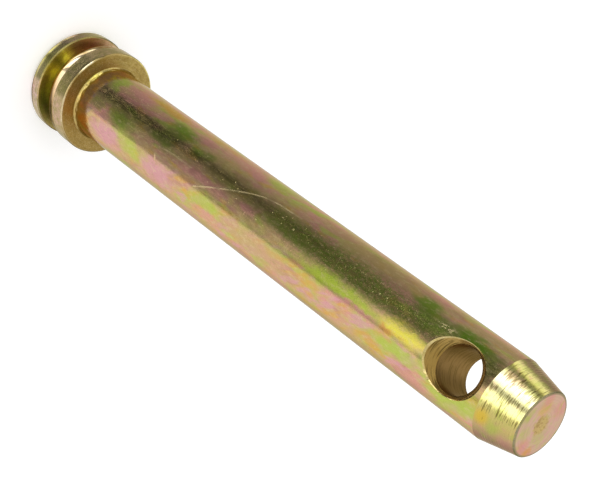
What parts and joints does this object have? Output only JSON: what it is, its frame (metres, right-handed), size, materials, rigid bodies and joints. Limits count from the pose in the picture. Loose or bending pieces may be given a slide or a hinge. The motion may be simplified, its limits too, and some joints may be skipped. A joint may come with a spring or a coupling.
{
  "type": "top link pin",
  "caption": "Turned steel hitch pin with a grooved flange head, a plain shank, a countersunk cross hole for a keeper and a tapered nose.",
  "frame": {"origin": "centre of the flat end face of the head, which the pin stands on", "axes": "+Z along the pin from the head to the nose, -Y out of the front mouth of the cross hole"},
  "size_m": [0.0274, 0.0274, 0.165],
  "materials": {
    "zinc_plate": "bright zinc under iridescent yellow chromate, over turned steel"
  },
  "bodies": {
    "root": {"link_pin": "zinc_plate"}
  },
  "joints": []
}
